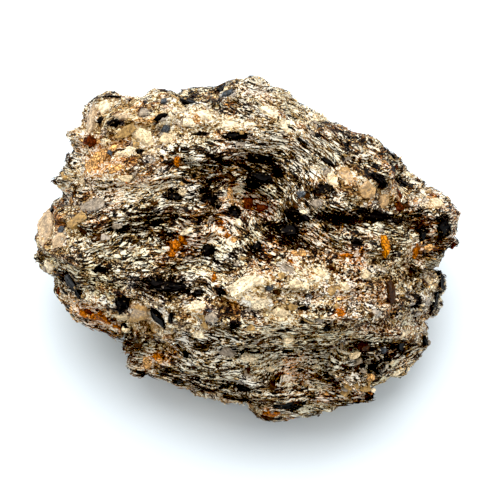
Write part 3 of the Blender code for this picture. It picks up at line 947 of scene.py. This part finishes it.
def add_values(piece: bpy.types.Object, name: str, kind: str, values: Array) -> None:
    """Keeps values on a piece's vertices for its material to read.

    Args:
        piece: the mesh object.
        name: the attribute's name.
        kind: FLOAT, FLOAT_VECTOR or FLOAT_COLOR.
        values: one row a vertex.
    """
    made = piece.data.attributes.new(name, kind, "POINT")
    key = {"FLOAT": "value", "FLOAT_VECTOR": "vector", "FLOAT_COLOR": "color"}[kind]
    made.data.foreach_set(key, values.astype(np.float32).ravel())


@dataclass(frozen=True)
class Value:
    """A number from a shader socket. Arithmetic on it adds a Math node."""

    shade: "Shade"
    socket: bpy.types.NodeSocket

    def maths(self, operation: str, other: "Value | float" = 0.0, clamp: bool = False) -> "Value":
        """This number and another, joined by a Math node's operation."""
        settings = {"operation": operation, "use_clamp": clamp}
        return Value(self.shade, self.shade.add("Math", settings, {0: self, 1: other}).outputs[0])

    def __add__(self, other: "Value | float") -> "Value":
        """The sum."""
        return self.maths("ADD", other)

    def __sub__(self, other: "Value | float") -> "Value":
        """The difference."""
        return self.maths("SUBTRACT", other)

    def __mul__(self, other: "Value | float") -> "Value":
        """The product."""
        return self.maths("MULTIPLY", other)

    def held(self) -> "Value":
        """The number, no less than 0 and no more than 1."""
        return self.maths("ADD", 0.0, True)


@dataclass
class Shade:
    """A material with its Principled shader, and the textures that the finishes are made from.

    Specular is how strongly it shines, where 0.5 is what the index of refraction gives.
    """

    name: str
    roughness: float
    ior: float
    specular: float = 0.5
    material: bpy.types.Material = field(init=False)
    tree: bpy.types.NodeTree = field(init=False)
    shader: bpy.types.Node = field(init=False)
    place: bpy.types.NodeSocket = field(init=False)

    def __post_init__(self) -> None:
        """Starts the material. Its place is where each point is on the piece, in metres."""
        self.material = bpy.data.materials.new(self.name)
        self.material.use_nodes = True
        self.tree = self.material.node_tree
        self.shader = self.tree.nodes["Principled BSDF"]
        own = {"Roughness": self.roughness, "IOR": self.ior, "Specular IOR Level": self.specular}
        for socket, value in own.items():
            self.shader.inputs[socket].default_value = value
        self.place = self.add("TexCoord").outputs["Object"]

    def add(self, kind: str, settings: dict | None = None, inputs: dict | None = None) -> bpy.types.Node:
        """Adds a shader node.

        Args:
            kind: the node's type, without ShaderNode.
            settings: its own properties.
            inputs: a number, a Value or a socket for each input by name or number.

        Returns:
            The node.
        """
        made = self.tree.nodes.new("ShaderNode" + kind)
        for key, value in (settings or {}).items():
            setattr(made, key, value)
        for key, value in (inputs or {}).items():
            value = value.socket if isinstance(value, Value) else value
            if isinstance(value, bpy.types.NodeSocket):
                self.tree.links.new(value, made.inputs[key])
            else:
                made.inputs[key].default_value = value
        return made

    def attribute(self, name: str, output: str) -> Value:
        """An attribute of the piece, by its output: Vector, Color or Fac."""
        return Value(self, self.add("Attribute", {"attribute_name": name}).outputs[output])

    def split(self, colour: bpy.types.NodeSocket | Value) -> tuple[Value, ...]:
        """Red, green and blue of a colour."""
        outputs = self.add("SeparateColor", inputs={"Color": colour}).outputs
        return tuple(Value(self, outputs[i]) for i in range(3))

    def noise(self, at: bpy.types.NodeSocket, cell_mm: float | None = None, detail: float = 1.0,
              roughness: float = 0.5, output: str = "Fac") -> Value:
        """Cloudy noise.

        Args:
            at: coordinates in metres, or in cells where cell_mm is left out.
            cell_mm: how large its clouds are.
            detail: how many finer noises are added.
            roughness: how strong those are.
            output: Fac or Color.

        Returns:
            The noise.
        """
        scale = 1000 / cell_mm if cell_mm else 1.0
        inputs = {"Vector": at, "Scale": scale, "Detail": detail, "Roughness": roughness}
        return Value(self, self.add("TexNoise", inputs=inputs).outputs[output])

    def voronoi(self, at: bpy.types.NodeSocket, cell_mm: float | None, edges: bool) -> bpy.types.Node:
        """Cells with straight sides, by their own colours or by the distance to their edges."""
        feature = "DISTANCE_TO_EDGE" if edges else "F1"
        scale = 1000 / cell_mm if cell_mm else 1.0
        return self.add("TexVoronoi", {"feature": feature}, {"Vector": at, "Scale": scale})

    def cells(self, at: bpy.types.NodeSocket, cell_mm: float | None = None) -> tuple[Value, ...]:
        """Three chance values for each cell."""
        return self.split(self.voronoi(at, cell_mm, False).outputs["Color"])

    def edges(self, at: bpy.types.NodeSocket, cell_mm: float | None = None) -> Value:
        """How far it is to the nearest edge of a cell, in cells."""
        return Value(self, self.voronoi(at, cell_mm, True).outputs["Distance"])

    def ramp(self, value: Value, stops: tuple) -> bpy.types.NodeSocket:
        """Turns a value into a colour through stops of (place, sRGB hex)."""
        ramp = self.add("ValToRGB", inputs={"Fac": value})
        elements = ramp.color_ramp.elements
        elements.remove(elements[1])
        for index, (place, colour) in enumerate(stops):
            element = elements[0] if index == 0 else elements.new(place)
            element.position = place
            element.color = (*(REFLECTANCE * linear(colour)), 1)
        return ramp.outputs["Color"]

    def mixed(self, share: Value, first: bpy.types.NodeSocket,
              second: bpy.types.NodeSocket | tuple) -> bpy.types.NodeSocket:
        """Two colours mixed by the share of the second."""
        return self.add("Mix", {"data_type": "RGBA"}, {0: share, 6: first, 7: second}).outputs[2]

    def vector(self, operation: str, inputs: dict) -> bpy.types.NodeSocket:
        """A sum on vectors or colours."""
        return self.add("VectorMath", {"operation": operation}, inputs).outputs[0]

    def finish(self, colour: bpy.types.NodeSocket, height: Value, bump_mm: float,
               strength: float) -> bpy.types.Material:
        """Links the colour and a bump.

        Args:
            colour: the surface's.
            height: what the bump rises with.
            bump_mm: how high it rises.
            strength: how far it turns the light, from 0 to 1.

        Returns:
            The material.
        """
        self.tree.links.new(colour, self.shader.inputs["Base Color"])
        inputs = {"Strength": strength, "Distance": bump_mm / 1000, "Height": height}
        self.tree.links.new(self.add("Bump", inputs=inputs).outputs["Normal"], self.shader.inputs["Normal"])
        return self.material


@dataclass(frozen=True)
class SchistFinish:
    """Broken biotite schist: a felt of black, brown and bronze mica on cream feldspar, which gives
    the eye fine dark and light streaks that follow the layers.

    A stretched texture is given by its size across and along the layers in millimetres, where it
    starts and its turn. A cover is the share of the cells that are there, and a swing is how far a
    texture takes the stone to light or dark. Books under black_books are black, and those over
    white_books are white.
    """

    streak: tuple = (0.26, 3.4, 1.0, 0.0)
    flake: tuple = (0.30, 2.0, 5.0, 0.0)
    splinter: tuple = (0.26, 0.9, 3.0, 0.3)
    book: tuple = (0.55, 2.6, 9.0, 0.0)
    seam: tuple = (0.8, 3.4, 13.0, -0.12)
    grain_mm: float = 0.34
    chip_mm: float = 0.6
    block_mm: float = 2.4
    crack_mm: float = 1.4
    bend_mm: float = 0.9
    flake_cover: float = 0.5
    splinter_cover: float = 0.6
    felt_swing: float = 2.0
    streak_swing: float = 1.8
    grain_swing: float = 2.3
    book_swing: float = 0.3
    black_books: float = 0.15
    white_books: float = 0.90
    block_swing: float = 0.3
    block_grain_swing: float = 1.7
    chip_swing: float = 1.1

    def make(self) -> bpy.types.Material:
        """Reads the makeup, adds streaks on the layer coordinates, and turns the sum to colour."""
        shade = Shade("broken_biotite_schist", 0.62, 1.54, 0.15)
        layered = shade.attribute("layered", "Vector")
        own_light, own_rust, own_cool = shade.split(shade.attribute("makeup", "Color"))
        olive, block, clean = (shade.attribute(name, "Fac") for name in ("olive", "block", "clean"))

        def stretched(across: float, along: float, start: float, turn: float) -> bpy.types.NodeSocket:
            """Layer coordinates in cells of this size."""
            turned = shade.add("Mapping", inputs={
                "Vector": layered, "Rotation": (0, 0, turn), "Location": (start, start * 2.3, start * 0.7),
            }).outputs[0]
            scale = (1 / across, 1 / along, 1 / along)
            return shade.add("Mapping", inputs={"Vector": turned, "Scale": scale}).outputs[0]

        def over(top: tuple, under: Value, cover: float) -> Value:
            """The first value of the share of the top cells that are there, or else what is under."""
            return under + (top[0] - under) * top[1].maths("LESS_THAN", cover)

        streaks = shade.noise(stretched(*self.streak))
        grain = shade.cells(shade.place, self.grain_mm)[0]
        grains = shade.noise(shade.place, self.grain_mm, 2.0, 0.6)
        splinters = shade.cells(stretched(*self.splinter))
        felt = over(splinters, grain, self.splinter_cover)
        felt = over(shade.cells(stretched(*self.flake)), felt, self.flake_cover)
        books = shade.cells(stretched(*self.book))[0]
        swing = (felt - 0.5) * self.felt_swing + (streaks - 0.5) * self.streak_swing
        swing = swing + (grains - 0.5) * self.grain_swing + (books - 0.5) * self.book_swing
        swing = swing + ((books - self.black_books) * -30).held() * -0.55
        swing = swing + ((books - self.white_books) * 30).held() * 0.30
        seam = (shade.edges(stretched(*self.seam)) * -8 + 1).held() * (splinters[2] * 4 - 1.2).held()
        swing = swing + seam * -0.75 + 0.06
        bends = shade.noise(shade.place, self.bend_mm, output="Color")
        bent = shade.vector("MULTIPLY_ADD", {0: bends, 1: (self.bend_mm / 1000,) * 3, 2: shade.place})
        blocks = shade.cells(bent, self.block_mm)
        chips = over(shade.cells(shade.place, self.chip_mm), grain, 0.5)
        steady = (blocks[0] - 0.5) * self.block_swing + (grains - 0.5) * self.block_grain_swing
        steady = (steady + (chips - 0.5) * self.chip_swing) * (clean * -0.5 + 1)
        steady = steady + clean * (blocks[0] - 0.5) * 0.3
        crack = (shade.edges(bent, self.crack_mm) * -10 + 1).held() * (splinters[2] * 4 - 1.6).held()
        steady = steady + crack * (clean * -0.45 - 0.3)
        swing = swing + (steady - swing) * block
        middle = (own_light * 2 - 1).maths("ABSOLUTE") * -0.6 + 1.3
        light = (own_light + swing * middle).held()
        plain = shade.ramp(light, PLAIN_STOPS)
        plain = shade.mixed(olive, plain, shade.vector("MULTIPLY", {0: plain, 1: OLIVE_TINT}))
        grey = ((blocks[2] - 0.62) * 1.6).held() * block
        pink = (blocks[1] - 0.60).held() * block
        cool = (grains * 0.8 + own_cool - 0.4 + grey).held()
        rust = (streaks * 1.2 + own_rust - 0.6 + pink).held()
        colour = shade.mixed(cool, plain, shade.ramp(light, COOL_STOPS))
        colour = shade.mixed(rust, colour, shade.ramp(light, RUST_STOPS))
        return shade.finish(colour, streaks + grains * 0.6, 0.6, 1.0)


@dataclass(frozen=True)
class GrainFinish:
    """A mineral of flakes or grains: each has its own tint, clouded a little by finer noise."""

    name: str
    roughness: float
    ior: float
    cloud_mm: float
    cloud: float
    speck: str
    speckled: float
    specular: float
    bump_mm: float = 0.05

    def make(self) -> bpy.types.Material:
        """The tint attribute, darker and lighter by noise of cloud_mm and by cells of painted facet shade,
        with specks on it.
        """
        shade = Shade(self.name, self.roughness, self.ior, self.specular)
        tint = shade.attribute("tint", "Color")
        noise = shade.noise(shade.place, self.cloud_mm, 3.0, 0.65)
        clouds = ((noise - 0.42) * (1 / 0.16)).held() * (2 * self.cloud) + (1 - self.cloud)
        # Painted facet shade: each small cell a little darker or lighter
        chips = shade.cells(shade.place, FACET_SHADE_MM)[0] * (2 * self.cloud) + (1 - self.cloud)
        colour = shade.vector("SCALE", {0: tint, "Scale": clouds * chips})
        specks = ((shade.noise(shade.place, SPECK_MM) - self.speckled) * 20).held() * 0.8
        speck = (*(REFLECTANCE * linear(self.speck)), 1)
        return shade.finish(shade.mixed(specks, colour, speck), noise, self.bump_mm, 0.6)


@dataclass
class Scatter:
    """Many small eight-sided flakes or blunt grains, sown over the skin and joined in one mesh."""

    name: str
    count: int
    finish: GrainFinish
    light: float
    spread: float
    mica: float
    long_mm: tuple[float, float]
    wide_mm: tuple[float, float]
    thick_mm: tuple[float, float]
    jitter: float
    proud: float
    seed: int

    def weights(self, makeup: Makeup) -> Array:
        """How likely a flake of this kind is at each vertex: a bell round its own lightness."""
        felted = 1 - self.mica * makeup.block
        return felted * (0.03 + np.exp(-(((makeup.light - self.light) / 0.2) ** 2)))

    def tints(self, makeup: Makeup, rng: np.random.Generator) -> Array:
        """A colour for each flake, from the stone under it and the kind's own lightness.

        Args:
            makeup: the stone under each flake.
            rng: the source of chance.

        Returns:
            Linear colours with alpha.
        """
        light = 0.12 * makeup.light + 0.88 * self.light + self.spread * rng.normal(size=self.count)
        colour = makeup.colours(np.clip(light, 0, 1)) * rng.uniform(0.8, 1.2, (self.count, 1))
        return np.concatenate([np.clip(colour, 0, 0.95), np.ones((self.count, 1))], axis=1)

    def build(self, surface: Surface, stand: Stand) -> bpy.types.Object:
        """Sows the flakes: each is eight faces on the six ends of its three axes.

        The long axis runs along the layer's trace on the surface, the wide axis goes into the stone
        within the layer, and the thin axis is the layer's normal, each turned a little by chance.

        Args:
            surface: the skin.
            stand: where the stone is.

        Returns:
            The joined piece.
        """
        rng = np.random.default_rng(self.seed)
        chance = surface.areas * self.weights(surface.makeup)
        index = rng.choice(len(surface.points), self.count, p=chance / chance.sum())
        out = surface.even_normals[index]
        thin = unit(surface.layer_normals[index] + self.jitter * rng.normal(size=out.shape))
        long = unit(np.cross(out, thin) + 0.12 * self.jitter * rng.normal(size=out.shape))
        wide = unit(np.cross(thin, long))
        wide *= np.sign((wide * out).sum(axis=1, keepdims=True) + 1e-9)
        size = [np.exp(rng.uniform(*np.log(span), (self.count, 1))) / 2
                for span in (self.long_mm, self.wide_mm, self.thick_mm)]
        centre = surface.points[index] + 0.45 * (
            rng.uniform(-1, 1, (self.count, 1)) * long + rng.uniform(-1, 1, (self.count, 1)) * thin)
        reach = np.abs((wide * out).sum(axis=1, keepdims=True)) * size[1]
        centre = centre + out * (self.proud - 0.65 * reach)
        skew = rng.uniform(-0.5, 0.5, (self.count, 1)) * size[0] * long
        ends = np.stack([
            centre + size[0] * long, centre - size[0] * long,
            centre + size[1] * wide + skew, centre - size[1] * wide - skew,
            centre + size[2] * thin, centre - size[2] * thin,
        ], axis=1)
        turned = np.array([[0, 2, 4], [2, 1, 4], [1, 3, 4], [3, 0, 4],
                           [2, 0, 5], [1, 2, 5], [3, 1, 5], [0, 3, 5]])
        side = np.einsum("ij,ij->i", np.cross(long, wide), thin) > 0
        order = np.where(side[:, None, None], turned, turned[:, ::-1])
        faces = (order + 6 * np.arange(self.count)[:, None, None]).reshape(-1, 3)
        piece = make_mesh(self.name, stand.place(ends.reshape(-1, 3)), faces, self.finish.make())
        tint = self.tints(surface.makeup.at(index), rng)
        add_values(piece, "tint", "FLOAT_COLOR", np.repeat(tint, 6, axis=0))
        return piece


@dataclass
class PlacedCrystals:
    """The books, grains and stained patches that the eye picks out, each a chip with a crowned face."""

    name: str
    finish: GrainFinish
    minerals: tuple[Mineral, ...]
    seed: int
    root_mm: float = 1.6
    uneven: tuple[float, float] = (0.72, 1.22)
    # How far each corner's colour is made darker or lighter at random: painted shade that sets the
    # crystal's faces apart
    painted_facet_shade: tuple[float, float] = (0.7, 1.15)

    def chip(self, seat: Seat, rng: np.random.Generator) -> tuple[Array, Array]:
        """One crystal: a root ring in the stone, a brow ring, an inner ring and a crown point.

        Args:
            seat: what it is, and where.
            rng: the source of chance.

        Returns:
            Points in the view's axes, and triangles.
        """
        count = seat.corners
        angle = (np.arange(count) + rng.uniform(-0.34, 0.34, count)) * 2 * math.pi / count
        radius = rng.uniform(*self.uneven, count)
        ring = (np.cos(angle) * radius * seat.size[0] / 2)[:, None] * seat.long
        ring = ring + (np.sin(angle) * radius * seat.size[1] / 2)[:, None] * seat.wide
        lift = (0.10 + 0.05 * min(seat.size)) * rng.uniform(-1, 1, (count, 1))
        crown = 0.2 * rng.normal() * seat.long + 0.1 * rng.normal() * seat.wide
        points = np.concatenate([
            0.85 * ring - self.root_mm * seat.out,
            ring + (seat.proud - 0.15 + lift) * seat.out,
            0.66 * ring + (seat.proud + 0.10 + 0.7 * lift[::-1]) * seat.out,
            (crown + (seat.proud + 0.12) * seat.out)[None],
        ]) + seat.centre
        here = np.arange(count)
        after = (here + 1) % count
        halves = (here, after, count + after), (here, count + after, count + here)
        walls = [base + np.stack(half, axis=1) for half in halves for base in (0, count)]
        top = np.stack([2 * count + here, 2 * count + after, np.full(count, 3 * count)], axis=1)
        inner = np.arange(1, count - 1)
        under = np.stack([np.zeros(count - 2, int), inner + 1, inner], axis=1)
        return points, np.concatenate([*walls, top, under])

    def build(self, surface: Surface, stand: Stand) -> bpy.types.Object:
        """Joins all the crystals of its minerals into one piece."""
        rng = np.random.default_rng(self.seed)
        points, faces, tints, start = [], [], [], 0
        for seat in (one for one in surface.seats if one.mineral in self.minerals):
            own, triangles = self.chip(seat, rng)
            points.append(own)
            faces.append(triangles + start)
            tone = seat.mineral.value
            shares = (tone.light, tone.rust, tone.cool, 0.0, 0.0, 0.0)
            one = Makeup(*(np.array([share]) for share in shares))
            # Painted facet shade: each corner's colour darker or lighter at random
            colour = np.clip(one.colours(one.light) * rng.uniform(*self.painted_facet_shade, (len(own), 1)), 0, 0.95)
            tints.append(np.append(colour, np.ones((len(own), 1)), axis=1))
            start += len(own)
        placed = stand.place(np.concatenate(points))
        piece = make_mesh(self.name, placed, np.concatenate(faces), self.finish.make())
        add_values(piece, "tint", "FLOAT_COLOR", np.concatenate(tints))
        return piece


@dataclass
class StoneSkin:
    """A part of the surface of the stone, in place of its solid."""

    name: str
    part: int
    finish: bpy.types.Material

    def build(self, surface: Surface, stand: Stand) -> bpy.types.Object:
        """Takes two of the six sides of the grid, with the values that the finish reads."""
        third = len(surface.quads) // 3
        quads = surface.quads[self.part * third:(self.part + 1) * third]
        used, index = np.unique(quads, return_inverse=True)
        piece = make_mesh(self.name, stand.place(surface.points[used]), index.reshape(-1, 4), self.finish)
        makeup = surface.makeup.at(used)
        shares = np.stack([makeup.light, makeup.rust, makeup.cool, np.ones(len(used))], axis=1)
        add_values(piece, "layered", "FLOAT_VECTOR", surface.layered[used])
        add_values(piece, "makeup", "FLOAT_COLOR", shares)
        for name, values in (("olive", makeup.olive), ("block", makeup.block), ("clean", makeup.clean)):
            add_values(piece, name, "FLOAT", values)
        return piece


@dataclass(frozen=True)
class Studio:
    """A pale floor, a soft light over and behind the stone, and the camera of the view."""

    floor_mm: float = 3000.0
    key_watts: float = 13.4
    key_mm: float = 1300.0
    key_place: tuple[float, float, float] = (-0.05, 0.34, 0.92)
    key_aim: tuple[float, float, float] = (0, 0, 0.03)
    sky: float = 1.03
    view_middle: tuple[float, float, float] = (1.0, -0.5, 0.0)

    def build_floor(self) -> None:
        """A white sweep that the stone lies on."""
        half = self.floor_mm / 2000
        corners = np.array([[-half, -half, 0], [half, -half, 0], [half, half, 0], [-half, half, 0]])
        shade = Shade("white_paper_sweep", 0.9, 1.45)
        shade.shader.inputs["Base Color"].default_value = (*linear("dfe8ee"), 1)
        floor = make_mesh("floor", corners, np.array([[0, 1, 2, 3]]), shade.material)

    def build_light(self) -> None:
        """An area light above, behind and to the left, and an even pale sky for the shadows."""
        lamp = bpy.data.lights.new("soft_box", "AREA")
        lamp.shape = "DISK"
        lamp.size = self.key_mm / 1000
        lamp.energy = self.key_watts
        box = add_object("soft_box", lamp)
        box.location = self.key_place
        aim = np.array(self.key_aim) - np.array(box.location)
        tip = math.acos(-aim[2] / np.linalg.norm(aim))
        box.rotation_euler = (tip, 0, math.atan2(aim[1], aim[0]) - math.pi / 2)
        world = bpy.data.worlds.new("pale_room")
        world.use_nodes = True
        background = world.node_tree.nodes["Background"]
        background.inputs["Color"].default_value = (1, 1, 1, 1)
        background.inputs["Strength"].default_value = self.sky
        bpy.context.scene.world = world

    def build_camera(self, stand: Stand) -> None:
        """Looks down at VIEW_ELEVATION from the front, PIXELS_PER_MM at the middle of the stone."""
        camera = bpy.data.cameras.new("view")
        camera.lens = LENS_MM
        camera.sensor_width = SENSOR_MM
        camera.clip_end = 10
        eye = add_object("view", camera)
        frame_mm = IMAGE_PIXELS / PIXELS_PER_MM
        distance = frame_mm * LENS_MM / SENSOR_MM / 1000
        middle = stand.place(np.array([self.view_middle]))[0]
        towards_eye = stand.turn[:, 2]
        eye.location = middle + distance * towards_eye
        eye.rotation_euler = (math.radians(90 - VIEW_ELEVATION), 0, 0)
        bpy.context.scene.camera = eye


def build_scene() -> None:
    """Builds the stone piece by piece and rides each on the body."""
    stand = Stand()
    surface = Surface.build(Layers())
    stand.measure(surface.points)
    schist = SchistFinish().make()
    mica = GrainFinish("biotite_mica", 0.5, 1.58, 0.5, 0.6, "b39468", 0.65, 0.04)
    weathered = GrainFinish("weathered_mica", 0.5, 1.58, 0.4, 0.75, "120803", 0.58, 0.12)
    feldspar = GrainFinish("broken_feldspar", 0.5, 1.53, 0.4, 0.6, "4a3018", 0.57, 0.3)
    quartz = GrainFinish("grey_quartz", 0.25, 1.544, 0.8, 0.30, "4d473c", 0.64, 0.5)
    books = GrainFinish("biotite_book", 0.45, 1.58, 0.6, 0.5, "8c7350", 0.70, 0.05)
    clear = GrainFinish("cleaved_feldspar", 0.5, 1.53, 0.8, 0.30, "5c4020", 0.63, 0.3)
    stain = GrainFinish("iron_stained_grains", 0.5, 1.6, 0.5, 0.6, "2a1206", 0.55, 0.05)
    makers = [
        StoneSkin("stone_skin_sides", 0, schist),
        StoneSkin("stone_skin_ends", 1, schist),
        StoneSkin("stone_skin_faces", 2, schist),
        Scatter("black_mica_flakes", 15500, mica, 0.02, 0.06, 0.85,
                (0.9, 3.8), (0.4, 0.8), (0.14, 0.36), 0.20, 0.08, 21),
        Scatter("weathered_mica_flakes", 13500, weathered, 0.38, 0.21, 0.8,
                (0.9, 4.0), (0.25, 0.6), (0.10, 0.26), 0.22, 0.08, 22),
        Scatter("pale_slivers", 10500, feldspar, 0.90, 0.14, 0.5,
                (0.7, 3.4), (0.2, 0.5), (0.10, 0.25), 0.26, 0.08, 23),
        Scatter("feldspar_grains", 3000, feldspar, 0.86, 0.10, 0.0,
                (0.5, 1.3), (0.5, 1.1), (0.4, 0.9), 0.9, 0.02, 24),
        PlacedCrystals("biotite_books", books, (Mineral.BLACK, Mineral.SLATE, Mineral.BROWN), 31),
        PlacedCrystals("feldspar_crystals", clear,
                       (Mineral.WHITE, Mineral.CREAM, Mineral.PINK, Mineral.TAN), 32),
        PlacedCrystals("quartz_crystals", quartz, (Mineral.GREY, Mineral.CLEAR), 33),
        PlacedCrystals("rust_patches", stain,
                       (Mineral.AMBER, Mineral.ORANGE, Mineral.PEACH, Mineral.RUST), 34),
    ]
    for maker in makers:
        piece = maker.build(surface, stand)
        if isinstance(maker, StoneSkin):
            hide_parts("schist_lump")
        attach(piece, "root")
        LOG.info("%s: %d faces", piece.name, len(piece.data.polygons))
    studio = Studio()
    studio.build_floor()
    studio.build_light()
    studio.build_camera(stand)


def main() -> None:
    """Builds everything."""
    logging.basicConfig(level=logging.INFO, format="%(message)s")
    view = bpy.context.scene.view_settings
    view.view_transform = "Standard"
    view.use_curve_mapping = True
    view.curve_mapping.black_level = (BLACK_POINT,) * 3
    view.curve_mapping.update()
    build_scene()


if __name__ == "__main__":
    main()
